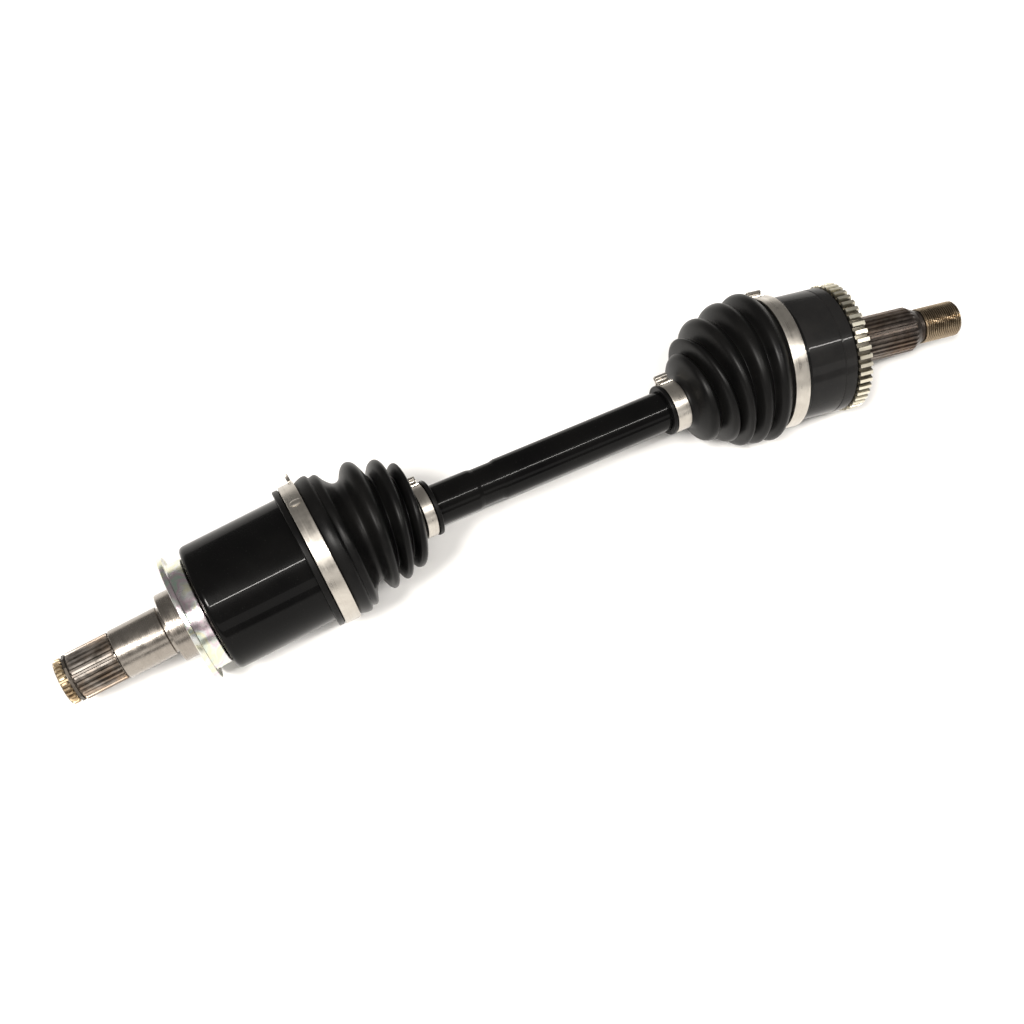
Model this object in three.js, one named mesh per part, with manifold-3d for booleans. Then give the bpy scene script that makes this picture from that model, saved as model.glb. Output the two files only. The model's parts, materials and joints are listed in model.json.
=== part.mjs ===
// Front-wheel drive axle with a sliding tripod joint at one end and a six-ball joint at the other.
// Millimetres, +Z up. The shaft runs along +X towards the threaded wheel end.
import * as THREE from 'three';
import { mergeVertices } from 'three/addons/utils/BufferGeometryUtils.js';
import Module from 'manifold-3d';

const wasm = await Module();
wasm.setup();

// Overall layout
const JOINT_SPACING = 346;             // distance between the two joint centres
const INBOARD_BEND = THREE.MathUtils.degToRad(8.9);  // the gearbox stub hangs down by this
const OUTBOARD_BEND = THREE.MathUtils.degToRad(8.25);
const OUTBOARD_AXIS_TURN = THREE.MathUtils.degToRad(72.7);
// The outer joint's bend axis, square to the shaft; its bend is mostly sideways.
const outboardAxis = new THREE.Vector3(0, Math.cos(OUTBOARD_AXIS_TURN), -Math.sin(OUTBOARD_AXIS_TURN));
const inboardAxis = new THREE.Vector3(0, 1, 0);
const REST_PITCH = THREE.MathUtils.degToRad(0.5);   // levels the two rims the axle lies on
const GAP = 0.3;                       // clearance between neighbouring pieces
const FINE = 30;                       // facets round a large diameter
const COARSE = 20;                     // facets round a small diameter
const CLIP_OPENING = 0.5;              // opening of the snap rings, in radians
const CLIP_WIDTH = 1.5;

// Shaft
const SHAFT_R = 13;
const SHAFT_END_R = 11.5;
const SHAFT_END = 14;                  // reach past each joint centre
const SLIM_REACH = 44;                 // the bar is slim this far from each joint centre, to bend freely
const NECK_R = 12.3;
const NECK_FROM_INBOARD = [119, 132];
const NECK_TAPER = 3;
const SLIM_TAPER = 4;

// Inboard tripod joint, measured from its centre; negative is towards the gearbox
const CUP_R = 40;
const CUP_MOUTH = 22;
const CUP_BOTTOM = -50;
const CUP_END = -59.5;
const CUP_CORNER = 4;
const TRACK_PITCH_R = 20.5;
const TRACK_R = 16.9;
const ROLLER_R = 15.5;
const ROLLER_HALF_WIDTH = 5.6;
const TRUNNION_R = 8;
const NEEDLE_RING_R = 10.6;
const CUP_CORE_R = 24.5;
const CUP_FLARE_R = 36;                // the lands between the tracks open out towards the mouth
const CUP_FLARE_START = 2;
const SLINGER_SEAT_R = 27;
const SLINGER_DRUM_R = 34;
const SLINGER_R = 40;
const HUB_END = -70;
const COLLAR_R = 21.5;
const COLLAR_FACE = -84.4;
const JOURNAL = [-117, -87];            // ground length for the oil seal and side bush
const JOURNAL_R = 15.35;
const SPLINE_DEPTH = 1.4;
const STUB_SPLINE_R = 14.9;
const STUB_TIP_R = 14.2;
const STUB_SPLINE = [-145, -118];       // end and start of the gearbox spline
const STUB_GROOVE_END = -147.6;
const STUB_END = -153;
const STUB_GROOVE_R = 12.8;

// Outboard ball joint, measured from its centre; positive is towards the wheel
const BALL_COUNT = 6;
const BALL_R = 8.33;
const BALL_PITCH_R = 26;
const BALL_TRACK_R = 9.9;
const RACE_R = 22.5;
const CAGE_R = 29.6;
const BELL_CAVITY_R = 30;
const BELL_R = 41;
const BELL_SEAT_R = 39.7;
const BELL_MOUTH = -19;
const BELL_MOUTH_R = 35;
const BELL_FLARE_START = -11;          // the mouth opens out from here so the bar can swing
const BELL_CAVITY_END = 24;
const BELL_LIP = -3;
const BELL_END = 40.5;
const SHOULDER_END = 42.5;
const SHOULDER_R = 24;
const RING_START = 30.5;
const RING_SEAT_R = 37.5;
const RING_WIDTH = 9;
const RING_TEETH = 48;
const RING_TIP_R = 42.3;
const RING_ROOT_R = 39.6;
const WHEEL_SPLINE_R = 15;
const WHEEL_SPLINE_START = 46;
const WHEEL_SPLINE_END = 91;
const THREAD_R = 11.9;                 // M24 x 1.5 crest
const THREAD_START = 98;
const THREAD_END = 125;
const SPLINE_TEETH = 27;

const colours = {
  blackPaint: [0x101113, 0.22, 0.3],
  steel: [0x8d8680, 0.35, 1],
  darkSteel: [0x4a443e, 0.4, 1],
  zinc: [0xc9cbc4, 0.35, 1],
  clampSteel: [0xb8b0a6, 0.4, 1],
  rubber: [0x141414, 0.55, 0],
  bearing: [0x9a9a9c, 0.2, 1],
};

const axle = new THREE.Group();
const shaftGroup = new THREE.Group();
const inboard = new THREE.Group();
const outboard = new THREE.Group();
const cageGroup = new THREE.Group();
inboard.position.x = -JOINT_SPACING / 2;
inboard.quaternion.setFromAxisAngle(inboardAxis, -INBOARD_BEND);
outboard.position.x = JOINT_SPACING / 2;
outboard.quaternion.setFromAxisAngle(outboardAxis, OUTBOARD_BEND);
cageGroup.position.x = JOINT_SPACING / 2;
cageGroup.quaternion.setFromAxisAngle(outboardAxis, OUTBOARD_BEND / 2);
axle.add(shaftGroup, inboard, outboard, cageGroup);

// ---- helpers -------------------------------------------------------------

// A closed solid with shared corners and its faces pointing out.
function closed(geometry) {
  const bare = geometry.clone();
  bare.deleteAttribute('normal');
  bare.deleteAttribute('uv');
  const merged = mergeVertices(bare, 1e-4);
  const position = merged.attributes.position;
  const source = merged.index.array;
  const kept = [];
  let volume = 0;
  const a = new THREE.Vector3();
  const b = new THREE.Vector3();
  const c = new THREE.Vector3();
  for (let i = 0; i < source.length; i += 3) {
    const [p, q, r] = [source[i], source[i + 1], source[i + 2]];
    if (p === q || q === r || r === p) continue;
    kept.push(p, q, r);
    a.fromBufferAttribute(position, p);
    b.fromBufferAttribute(position, q);
    c.fromBufferAttribute(position, r);
    volume += a.dot(b.cross(c));
  }
  if (volume < 0) kept.reverse();
  merged.setIndex(kept);
  return merged;
}

function toManifold(geometry) {
  const solid = closed(geometry);
  const vertProperties = new Float32Array(solid.attributes.position.array);
  const triVerts = new Uint32Array(solid.index.array);
  return new wasm.Manifold(new wasm.Mesh({ numProp: 3, vertProperties, triVerts }));
}

function fromManifold(manifold) {
  const mesh = manifold.getMesh();
  const geometry = new THREE.BufferGeometry();
  geometry.setAttribute('position', new THREE.BufferAttribute(new Float32Array(mesh.vertProperties), 3));
  geometry.setIndex(Array.from(mesh.triVerts));
  return closed(geometry);
}

function joined(first, ...others) {
  return fromManifold(others.reduce((sum, item) => sum.add(toManifold(item)), toManifold(first)));
}

function cut(first, ...others) {
  return fromManifold(others.reduce((rest, item) => rest.subtract(toManifold(item)), toManifold(first)));
}

// A turned solid about X. Points are [x, radius]; a profile off the axis closes on itself.
function turned(points, facets = FINE) {
  const profile = points.map(([x, radius]) => new THREE.Vector2(radius, x));
  const touchesAxis = points[0][1] === 0 && points.at(-1)[1] === 0;
  if (!touchesAxis) profile.push(profile[0].clone());
  const geometry = new THREE.LatheGeometry(profile, facets);
  geometry.rotateZ(-Math.PI / 2);
  geometry.rotateX(Math.PI / facets);
  return closed(geometry);
}

function ring(x0, x1, innerR, outerR, facets = FINE) {
  return turned([[x0, innerR], [x0, outerR], [x1, outerR], [x1, innerR]], facets);
}

// Points on a circle round the joint centre, by the distance x along the axis.
function sphereArc(radius, x0, x1, steps) {
  return Array.from({ length: steps + 1 }, (_, i) => {
    const x = x0 + (x1 - x0) * (i / steps);
    return [x, Math.sqrt(radius * radius - x * x)];
  });
}

// A prism along X from x0, drawn in the YZ plane.
function prism(shape, x0, length) {
  const options = { depth: length, bevelEnabled: false, steps: 1, curveSegments: 8 };
  const geometry = new THREE.ExtrudeGeometry(shape, options);
  geometry.rotateY(Math.PI / 2);
  geometry.translate(x0, 0, 0);
  return closed(geometry);
}

function toothedShape(teeth, rootR, tipR, holeR = 0) {
  const shape = new THREE.Shape();
  const step = (2 * Math.PI) / teeth;
  const corners = [[-0.32, rootR], [-0.18, tipR], [0.18, tipR], [0.32, rootR]];
  for (let i = 0; i < teeth; i += 1) {
    for (const [offset, radius] of corners) {
      const angle = (i + offset) * step;
      const x = radius * Math.cos(angle);
      const y = radius * Math.sin(angle);
      if (i === 0 && offset === corners[0][0]) shape.moveTo(x, y);
      else shape.lineTo(x, y);
    }
  }
  shape.closePath();
  if (holeR > 0) {
    const hole = new THREE.Path();
    for (let i = 0; i < teeth; i += 1) {
      const angle = -i * step;
      const draw = i === 0 ? 'moveTo' : 'lineTo';
      hole[draw](holeR * Math.cos(angle), holeR * Math.sin(angle));
    }
    hole.closePath();
    shape.holes.push(hole);
  }
  return shape;
}

// A snap ring: a flat ring with a gap, lying across X.
function snapRing(x0, width, innerR, outerR, gapAngle) {
  const shape = new THREE.Shape();
  const half = gapAngle / 2;
  const steps = 12;
  const span = 2 * Math.PI - gapAngle;
  const innerCornerR = innerR / Math.cos(span / steps / 2);
  for (let i = 0; i <= steps; i += 1) {
    const angle = half + (span * i) / steps;
    const draw = i === 0 ? 'moveTo' : 'lineTo';
    shape[draw](outerR * Math.cos(angle), outerR * Math.sin(angle));
  }
  for (let i = steps; i >= 0; i -= 1) {
    const angle = half + (span * i) / steps;
    shape.lineTo(innerCornerR * Math.cos(angle), innerCornerR * Math.sin(angle));
  }
  shape.closePath();
  return prism(shape, x0, width);
}

// Bends a solid lying along X: each slice turns about a pivot on the axis, from none to the full angle.
function bent(geometry, pivotX, from, to, axis, angle) {
  const position = geometry.attributes.position;
  const point = new THREE.Vector3();
  for (let i = 0; i < position.count; i += 1) {
    point.fromBufferAttribute(position, i);
    const along = (point.x - from) / (to - from);
    point.x -= pivotX;
    point.applyAxisAngle(axis, angle * THREE.MathUtils.smoothstep(along, 0, 1));
    position.setXYZ(i, point.x + pivotX, point.y, point.z);
  }
  return geometry;
}

function add(group, name, geometry, look) {
  const [color, roughness, metalness] = colours[look];
  const mesh = new THREE.Mesh(geometry, new THREE.MeshStandardMaterial({ color, roughness, metalness }));
  mesh.name = name;
  group.add(mesh);
  return mesh;
}

// ---- shaft ---------------------------------------------------------------

const inX = -JOINT_SPACING / 2;
const outX = JOINT_SPACING / 2;
const [neckA, neckB] = NECK_FROM_INBOARD.map((distance) => inX + distance);
add(shaftGroup, 'axle_shaft', turned([
  [inX - SHAFT_END, 0],
  [inX - SHAFT_END, SHAFT_END_R],
  [inX + SLIM_REACH, SHAFT_END_R],
  [inX + SLIM_REACH + SLIM_TAPER, SHAFT_R],
  [neckA - NECK_TAPER, SHAFT_R],
  [neckA, NECK_R],
  [neckB, NECK_R],
  [neckB + NECK_TAPER, SHAFT_R],
  [outX - SLIM_REACH - SLIM_TAPER, SHAFT_R],
  [outX - SLIM_REACH, SHAFT_END_R],
  [outX + SHAFT_END, SHAFT_END_R],
  [outX + SHAFT_END, 0],
], COARSE), 'blackPaint');

// ---- inboard tripod joint --------------------------------------------------

function housing() {
  const [splineEnd, splineStart] = STUB_SPLINE;
  const [journalEnd, journalStart] = JOURNAL;
  const shell = turned([
    [STUB_END, 0],
    [STUB_END, STUB_TIP_R - 1.5],
    [STUB_END + 1.5, STUB_TIP_R],
    [STUB_GROOVE_END, STUB_TIP_R],
    [STUB_GROOVE_END, STUB_GROOVE_R],
    [splineEnd, STUB_GROOVE_R],
    [splineEnd, STUB_SPLINE_R - SPLINE_DEPTH],
    [splineStart, STUB_SPLINE_R - SPLINE_DEPTH],
    [journalEnd, JOURNAL_R],
    [journalStart, JOURNAL_R],
    [journalStart + 0.4, JOURNAL_R - 1],
    [COLLAR_FACE, JOURNAL_R - 1],
    [COLLAR_FACE, COLLAR_R],
    [HUB_END, COLLAR_R],
    [HUB_END, SLINGER_SEAT_R],
    [CUP_END, SLINGER_SEAT_R],
    [CUP_END, CUP_R - CUP_CORNER],
    [CUP_END + 1.2, CUP_R - 1.2],
    [CUP_END + CUP_CORNER, CUP_R],
    [CUP_MOUTH, CUP_R],
    [CUP_MOUTH, CUP_FLARE_R],
    [CUP_FLARE_START, CUP_CORE_R],
    [CUP_BOTTOM, CUP_CORE_R],
    [CUP_BOTTOM, 0],
  ]);
  const tracks = [0, 1, 2].map((index) => {
    const length = CUP_MOUTH - CUP_BOTTOM + 2;
    const track = new THREE.CylinderGeometry(TRACK_R, TRACK_R, length, COARSE);
    track.rotateZ(Math.PI / 2);
    track.translate(CUP_BOTTOM + length / 2, 0, TRACK_PITCH_R);
    track.rotateX((index * 2 * Math.PI) / 3);
    return track;
  });
  const teeth = toothedShape(SPLINE_TEETH, STUB_SPLINE_R - SPLINE_DEPTH + 0.1, STUB_SPLINE_R);
  const spline = prism(teeth, splineEnd, splineStart - splineEnd - 0.1);
  return joined(cut(shell, ...tracks), spline);
}
add(inboard, 'inboard_housing', housing(), 'blackPaint');

const clipX = STUB_GROOVE_END + 0.6;
const clipR = STUB_SPLINE_R - 0.2;
const stubClip = snapRing(clipX, CLIP_WIDTH, STUB_GROOVE_R + GAP, clipR, CLIP_OPENING);
add(inboard, 'stub_circlip', stubClip, 'darkSteel');

// Pressed steel slinger: a web on the housing hub, a drum and a wide flange.
add(inboard, 'dust_slinger', turned([
  [-62.5, SLINGER_SEAT_R + GAP],
  [-60.5, SLINGER_SEAT_R + GAP],
  [-60.5, SLINGER_DRUM_R],
  [-71, SLINGER_DRUM_R],
  [-71, SLINGER_R - 1.5],
  [-69.8, SLINGER_R],
  [-73.4, SLINGER_R],
  [-73.4, SLINGER_DRUM_R - 2],
  [-62.5, SLINGER_DRUM_R - 2],
]), 'zinc');

// The spider sits on the shaft, so it is square to the shaft.
const spiderGroup = new THREE.Group();
spiderGroup.position.x = inX;
shaftGroup.add(spiderGroup);

const TRUNNION_END = 29.5;
function spider() {
  const hub = ring(-11, 11, SHAFT_END_R + GAP, 14.6, COARSE);
  const pins = [0, 1, 2].map((index) => {
    const length = TRUNNION_END - 13;
    const pin = new THREE.CylinderGeometry(TRUNNION_R, TRUNNION_R, length, COARSE);
    pin.rotateX(Math.PI / 2);
    pin.translate(0, 0, 13 + length / 2);
    pin.rotateX((index * 2 * Math.PI) / 3);
    return pin;
  });
  return joined(hub, ...pins);
}
add(spiderGroup, 'spider', spider(), 'bearing');
const shaftClip = (x0, outerR) => snapRing(x0, CLIP_WIDTH, SHAFT_END_R + GAP, outerR, CLIP_OPENING);
add(spiderGroup, 'spider_circlip', shaftClip(-13.2, 13.6), 'darkSteel');
add(spiderGroup, 'spider_stop_ring', shaftClip(11.6, 13.6), 'darkSteel');

for (let index = 0; index < 3; index += 1) {
  const arm = new THREE.Group();
  arm.rotation.x = (index * 2 * Math.PI) / 3;
  const turnedUp = new THREE.Group();
  turnedUp.rotation.y = -Math.PI / 2;
  arm.add(turnedUp);
  spiderGroup.add(arm);
  const crown = sphereArc(ROLLER_R, -ROLLER_HALF_WIDTH, ROLLER_HALF_WIDTH, 4);
  const bore = NEEDLE_RING_R + GAP;
  const roller = turned([[-ROLLER_HALF_WIDTH, bore], ...crown, [ROLLER_HALF_WIDTH, bore]], COARSE);
  roller.translate(TRACK_PITCH_R, 0, 0);
  add(turnedUp, `roller_${index + 1}`, roller, 'bearing');
  const needles = ring(15.2, 26, TRUNNION_R + GAP, NEEDLE_RING_R, COARSE);
  add(turnedUp, `needle_ring_${index + 1}`, needles, 'bearing');
  const keeper = ring(26.5, 28, TRUNNION_R + GAP, 11.5, COARSE);
  add(turnedUp, `roller_keeper_${index + 1}`, keeper, 'darkSteel');
}

// ---- outboard ball joint ---------------------------------------------------

// Ball tracks: circles of the ball pitch radius in planes that hold the joint axis.
function ballTracks() {
  return Array.from({ length: BALL_COUNT / 2 }, (_, index) => {
    const track = new THREE.TorusGeometry(BALL_PITCH_R, BALL_TRACK_R, 10, 24);
    track.rotateX(Math.PI / 2 + (index * 2 * Math.PI) / BALL_COUNT);
    return track;
  });
}

function bell() {
  const cavity = sphereArc(BELL_CAVITY_R, BELL_FLARE_START, BELL_CAVITY_END, 9);
  const shell = turned([
    [THREAD_END, 0],
    [THREAD_END, THREAD_R - 1.2],
    [THREAD_END - 1.2, THREAD_R],
    [THREAD_START, THREAD_R],
    [THREAD_START - 0.6, THREAD_R - 1],
    [WHEEL_SPLINE_END + 4, THREAD_R - 1],
    [WHEEL_SPLINE_END + 3.5, THREAD_R + 0.3],
    [WHEEL_SPLINE_END, WHEEL_SPLINE_R - 1.3],
    [SHOULDER_END, WHEEL_SPLINE_R - 1.3],
    [SHOULDER_END, SHOULDER_R],
    [BELL_END, SHOULDER_R],
    [BELL_END, RING_SEAT_R],
    [RING_START, RING_SEAT_R],
    [RING_START, BELL_R - 1],
    [RING_START - 1, BELL_R],
    [BELL_LIP, BELL_R],
    [BELL_LIP, BELL_SEAT_R],
    [BELL_MOUTH, BELL_SEAT_R],
    [BELL_MOUTH, BELL_MOUTH_R],
    ...cavity,
    [BELL_CAVITY_END, 0],
  ]);
  const splineShape = toothedShape(SPLINE_TEETH, WHEEL_SPLINE_R - 1.2, WHEEL_SPLINE_R);
  const spline = prism(splineShape, WHEEL_SPLINE_START, WHEEL_SPLINE_END - WHEEL_SPLINE_START);
  return joined(cut(shell, ...ballTracks()), spline);
}
add(outboard, 'outboard_bell', bell(), 'blackPaint');

const ringShape = toothedShape(RING_TEETH, RING_ROOT_R, RING_TIP_R, RING_SEAT_R + GAP);
const toneRing = prism(ringShape, RING_START + GAP, RING_WIDTH);
add(outboard, 'tone_ring', toneRing, 'zinc');

const race = new THREE.Group();
race.position.x = outX;
shaftGroup.add(race);
const raceArc = sphereArc(RACE_R, -10, 10, 4);
const raceBlank = turned([[-10, SHAFT_END_R + GAP], ...raceArc, [10, SHAFT_END_R + GAP]]);
add(race, 'inner_race', cut(raceBlank, ...ballTracks()), 'bearing');
add(race, 'race_circlip', shaftClip(10.8, 13.4), 'darkSteel');

function cage() {
  const half = 12.5;
  const inner = sphereArc(RACE_R + 0.4, half, -half, 4);
  const outer = sphereArc(CAGE_R, -half, half, 4);
  const windows = Array.from({ length: BALL_COUNT }, (_, index) => {
    const hole = new THREE.CylinderGeometry(BALL_R + 0.4, BALL_R + 0.4, 20, 14);
    hole.rotateX(Math.PI / 2);
    hole.translate(0, 0, BALL_PITCH_R);
    hole.rotateX((index * 2 * Math.PI) / BALL_COUNT);
    return hole;
  });
  return cut(turned([...outer, ...inner]), ...windows);
}
add(cageGroup, 'ball_cage', cage(), 'bearing');
for (let index = 0; index < BALL_COUNT; index += 1) {
  const angle = (index * 2 * Math.PI) / BALL_COUNT;
  const sphere = closed(new THREE.SphereGeometry(BALL_R, 10, 6));
  const ball = add(cageGroup, `ball_${index + 1}`, sphere, 'bearing');
  ball.position.set(0, -BALL_PITCH_R * Math.sin(angle), BALL_PITCH_R * Math.cos(angle));
}

// ---- boots -----------------------------------------------------------------

// A bellows wall of even thickness between its outer profile and the same profile moved inwards.
function bellows(outer, wall, seats) {
  const inner = outer.map(([x, radius], index) => [x, seats[index] ?? radius - wall]).reverse();
  return turned([...outer, ...inner], FINE);
}

const SMALL_COLLAR_R = 15.8;
const OUTBOARD_COLLAR_R = 15.3;
const SMALL_BORE_R = SHAFT_R + GAP;
const BOOT_WALL = 2.4;

function outboardBoot() {
  const outer = [
    [-94.8, 16.6], [-92.4, 16.6], [-92.2, OUTBOARD_COLLAR_R], [-81.6, OUTBOARD_COLLAR_R],
    [-71.6, 29.6], [-62, 37.4], [-51.6, 43.8], [-38, 47], [-24.8, 48.6], [-17.6, 42.3], [-3.6, 42.3],
  ];
  const smallEnd = [0, 1, 2, 3].map(() => SMALL_BORE_R);
  const seats = { ...smallEnd, 9: BELL_SEAT_R + GAP, 10: BELL_SEAT_R + GAP };
  const geometry = bellows(outer, BOOT_WALL, seats);
  geometry.translate(outX, 0, 0);
  return bent(geometry, outX, outX - 80, outX - 20, outboardAxis, OUTBOARD_BEND);
}
add(shaftGroup, 'outboard_boot', outboardBoot(), 'rubber');

function inboardBoot() {
  const outer = [
    [4, 44.4], [8, 44.4], [8.2, 43.6], [22.6, 43.6], [31, 42], [37.5, 33.5],
    [48, 40], [60.4, 37], [71, 32], [77.2, SMALL_COLLAR_R],
    [85.2, SMALL_COLLAR_R], [85.5, 17.6], [88.2, 17.6],
  ];
  const seats = {};
  for (const index of [0, 1, 2, 3]) seats[index] = CUP_R + GAP;
  for (const index of [9, 10, 11, 12]) seats[index] = SMALL_BORE_R;
  const geometry = bellows(outer, BOOT_WALL, seats);
  geometry.translate(inX, 0, 0);
  return bent(geometry, inX, inX + 75, inX + 22, inboardAxis, -INBOARD_BEND);
}
add(shaftGroup, 'inboard_boot', inboardBoot(), 'rubber');

// ---- clamps ----------------------------------------------------------------

// A band with its closed ear standing up on the far side.
function clamp(x0, x1, innerR, outerR, ear) {
  const band = ring(x0, x1, innerR, outerR, FINE);
  const block = new THREE.BoxGeometry(x1 - x0 - 2, ear.width, ear.height + 0.6);
  block.translate((x0 + x1) / 2, 0, outerR - 0.6 + (ear.height + 0.6) / 2);
  block.rotateX(-ear.angle);
  return joined(band, block);
}
const EAR_ANGLE = THREE.MathUtils.degToRad(58);
const LOW_EAR_ANGLE = THREE.MathUtils.degToRad(125);
const smallEar = { width: 5, height: 4.2, angle: EAR_ANGLE };
const largeEar = { width: 7, height: 3, angle: EAR_ANGLE };
const lowEar = { width: 7, height: 2.6, angle: LOW_EAR_ANGLE };
const inboardSmallClamp = clamp(inX + 77.8, inX + 84.8, 16.1, 16.9, smallEar);
const outboardSmallClamp = clamp(outX - 91.8, outX - 82.2, 15.6, 16.4, smallEar);
add(shaftGroup, 'inboard_small_clamp', inboardSmallClamp, 'clampSteel');
add(shaftGroup, 'outboard_small_clamp', outboardSmallClamp, 'clampSteel');
add(inboard, 'inboard_large_clamp', clamp(8.4, 18.1, 43.9, 45.4, lowEar), 'clampSteel');
add(outboard, 'outboard_large_clamp', clamp(-16, -6, 42.6, 43.9, largeEar), 'clampSteel');

// ---- place the axle on its origin -------------------------------------------

const root = new THREE.Group();
root.add(axle);
axle.rotation.y = REST_PITCH;
axle.updateMatrixWorld(true);
const bounds = new THREE.Box3().setFromObject(axle, true);
const centre = bounds.getCenter(new THREE.Vector3());
axle.position.set(-centre.x, -centre.y, -bounds.min.z);

export default root;
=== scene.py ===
"""A front-wheel drive axle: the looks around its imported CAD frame.

Outlines are in millimetres: s runs along a piece's own X from a joint's centre, and r from its axis.
Everything placed in the scene is in metres.
"""

import json
import math

import bmesh
import bpy
import numpy as np
from mathutils import Euler, Matrix, Quaternion, Vector


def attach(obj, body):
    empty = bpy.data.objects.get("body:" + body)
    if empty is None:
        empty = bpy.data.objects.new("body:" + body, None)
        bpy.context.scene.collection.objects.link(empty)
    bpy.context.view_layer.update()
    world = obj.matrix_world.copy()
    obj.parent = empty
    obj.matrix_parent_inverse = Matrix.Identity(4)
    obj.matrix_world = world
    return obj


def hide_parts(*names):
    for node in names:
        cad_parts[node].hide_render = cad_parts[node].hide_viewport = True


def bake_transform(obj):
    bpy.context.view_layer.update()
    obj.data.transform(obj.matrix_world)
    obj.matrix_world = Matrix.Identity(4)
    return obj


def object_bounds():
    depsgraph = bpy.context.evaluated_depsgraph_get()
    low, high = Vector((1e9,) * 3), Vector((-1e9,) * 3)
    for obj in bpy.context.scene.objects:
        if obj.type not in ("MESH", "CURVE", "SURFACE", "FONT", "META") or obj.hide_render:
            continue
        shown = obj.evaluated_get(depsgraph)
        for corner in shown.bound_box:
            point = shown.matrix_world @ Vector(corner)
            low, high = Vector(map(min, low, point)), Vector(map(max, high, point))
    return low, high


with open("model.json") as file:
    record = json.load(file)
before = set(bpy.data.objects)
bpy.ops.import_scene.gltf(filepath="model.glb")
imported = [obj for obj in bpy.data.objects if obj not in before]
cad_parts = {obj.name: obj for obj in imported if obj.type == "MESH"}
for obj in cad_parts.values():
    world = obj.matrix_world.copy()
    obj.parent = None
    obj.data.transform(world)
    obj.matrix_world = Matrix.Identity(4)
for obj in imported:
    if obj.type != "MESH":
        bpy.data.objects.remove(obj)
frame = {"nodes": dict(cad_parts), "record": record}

cad_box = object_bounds()

MM = 0.001
FULL_TURN = 2 * math.pi
SHARP_ANGLE = math.radians(32)

# ---- places, all from the frame ---------------------------------------------

record = frame["record"]
joints = {joint["name"]: joint for joint in record["behaviour"]["joints"]}
mounts = {mount["name"]: mount for mount in record["mounts"]}
WHEEL_CENTRE = Vector(joints["outboard_bend"]["pos_m"])
GEARBOX_CENTRE = Vector(joints["inboard_bend"]["pos_m"])
SHAFT_LINE = (WHEEL_CENTRE - GEARBOX_CENTRE).normalized()
WHEEL_LINE = Vector(mounts["wheel_stub_end"]["axis"]).normalized()
GEARBOX_LINE = -Vector(mounts["inboard_stub_end"]["axis"]).normalized()
SPACING_MM = (WHEEL_CENTRE - GEARBOX_CENTRE).length / MM
SHAFT_UP = SHAFT_LINE.cross(Vector((0, 1, 0))).normalized()
SHAFT_TURN = Matrix((SHAFT_LINE, Vector((0, 1, 0)), SHAFT_UP)).transposed()


def place(origin, line):
    """A frame whose X runs along line, turned the short way from the shaft's own frame."""
    turn = SHAFT_LINE.rotation_difference(line).to_matrix() @ SHAFT_TURN
    return Matrix.Translation(origin) @ turn.to_4x4()


SHAFT = place(GEARBOX_CENTRE, SHAFT_LINE)
SHAFT_AT_WHEEL = place(WHEEL_CENTRE, SHAFT_LINE)
GEARBOX = place(GEARBOX_CENTRE, GEARBOX_LINE)
WHEEL = place(WHEEL_CENTRE, WHEEL_LINE)

# ---- mesh tools -----------------------------------------------------------------


def new_mesh(name, points, faces, look, attributes):
    """A smooth-shaded mesh object. attributes are one number a point, which the looks read."""
    mesh = bpy.data.meshes.new(name)
    mesh.from_pydata([tuple(point) for point in points], [], faces)
    bm = bmesh.new()
    bm.from_mesh(mesh)
    bmesh.ops.recalc_face_normals(bm, faces=bm.faces)
    bm.to_mesh(mesh)
    bm.free()
    for key, values in attributes.items():
        layer = mesh.attributes.new(key, "FLOAT", "POINT")
        layer.data.foreach_set("value", np.asarray(values, dtype=np.float32))
    mesh.shade_smooth()
    mesh.set_sharp_from_angle(angle=SHARP_ANGLE)
    mesh.materials.append(look)
    obj = bpy.data.objects.new(name, mesh)
    bpy.context.scene.collection.objects.link(obj)
    return obj


def eased(points, steps=4):
    """Rounds the corners of an outline. A point is (s, r) or (s, r, corner radius); r may be a function."""
    out = []
    for index, point in enumerate(points):
        inner = 0 < index < len(points) - 1
        if len(point) < 3 or not inner or callable(point[1]):
            out.append(tuple(point[:2]))
            continue
        here = np.array(point[:2], float)
        legs = [np.array(points[index + side][:2], float) - here for side in (-1, 1)]
        sizes = [np.linalg.norm(leg) for leg in legs]
        cosine = np.clip(np.dot(legs[0], legs[1]) / (sizes[0] * sizes[1]), -1, 1)
        reach = point[2] / max(math.tan(math.acos(cosine) / 2), 0.05)
        ends = [here + leg / size * min(reach, 0.48 * size) for leg, size in zip(legs, sizes)]
        for t in np.linspace(0, 1, steps + 1):
            out.append(tuple((1 - t) ** 2 * ends[0] + 2 * t * (1 - t) * here + t * t * ends[1]))
    return out


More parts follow.
